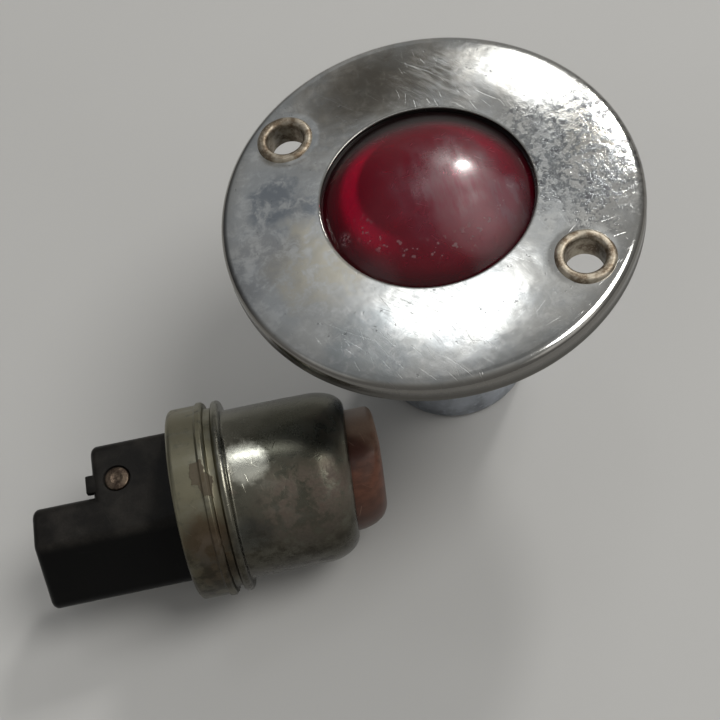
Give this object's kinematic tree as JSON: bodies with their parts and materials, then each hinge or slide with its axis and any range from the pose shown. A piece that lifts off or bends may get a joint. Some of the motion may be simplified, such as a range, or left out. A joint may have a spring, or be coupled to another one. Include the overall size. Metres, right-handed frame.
{
  "type": "car courtesy light",
  "caption": "Round plated courtesy lamp with a red domed lens and screw eyelets, standing on its tail tube, with its loose spring-contact bulb holder beside it.",
  "frame": {"origin": "on the lamp's axis, in the plane of the rim's lower edge and the eyelets' feet, where the lamp seats on its panel", "axes": "+Z out through the lens; +X to the right and +Y away, with the loose bulb holder lying on the -X side, its plug end towards -X"},
  "size_m": [0.0943, 0.0605, 0.0478],
  "materials": {
    "bezel_chrome": "polished, scratched and pitted",
    "eyelet_brass": "worn plating over brass",
    "lens_red": "deep red, lightly scratched",
    "gasket_rubber": "matt",
    "reflector_bright": "bright, slightly dull",
    "housing_steel": "zinc plated, dull",
    "can_steel": "zinc plated, stained with rust",
    "block_black": "semi-gloss moulding",
    "terminal_brass": "dull brass",
    "rivet_brass": "worn brass",
    "socket_brown": "glossy brown moulding",
    "spring_steel": "bright wire",
    "fibre_brown": "pressed fibre",
    "cap_nickel": "nickel plated",
    "bulb_glass": "clear",
    "filament_wire": "wire",
    "black_glass": "black glass",
    "solder": "dull solder"
  },
  "bodies": {
    "lamp": {"bezel": "bezel_chrome", "eyelet_left": "eyelet_brass", "eyelet_right": "eyelet_brass", "lens": "lens_red", "lens_gasket": "gasket_rubber", "reflector": "reflector_bright", "lamp_housing": "housing_steel", "tail_tube": "housing_steel"},
    "holder": {"holder_shell": "can_steel", "seal_ring": "gasket_rubber", "terminal_block": "block_black", "live_terminal": "terminal_brass", "earth_terminal": "terminal_brass", "terminal_rivet": "rivet_brass", "live_contact": "terminal_brass", "earth_washer": "terminal_brass", "bulb_socket": "socket_brown", "bayonet_sleeve": "terminal_brass", "contact_spring": "spring_steel"},
    "plunger": {"plunger_disc": "fibre_brown", "plunger_contact": "terminal_brass"},
    "bulb": {"bulb_cap": "cap_nickel", "bulb_glass": "bulb_glass", "bulb_filament": "filament_wire", "filament_bead": "bulb_glass", "cap_insulator": "black_glass", "bulb_contact": "solder"}
  },
  "joints": [
    {"name": "holder_lift", "type": "slide", "parent": "lamp", "child": "holder", "axis": [-0.7071, 0, 0.7071], "range_m": [0, 0.05]},
    {"name": "bulb_press", "type": "slide", "parent": "holder", "child": "bulb", "axis": [-0.9929, 0.052, 0.1068], "range_m": [0, 0.0015], "stiffness_N_per_m": 200, "springref_m": -0.002},
    {"name": "plunger_travel", "type": "slide", "parent": "holder", "child": "plunger", "axis": [-0.9929, 0.052, 0.1068], "range_m": [0, 0.0015], "deforming": ["contact_spring"]}
  ],
  "couplings": [
    {"joint": "plunger_travel", "follows": "bulb_press", "ratio": 1}
  ]
}
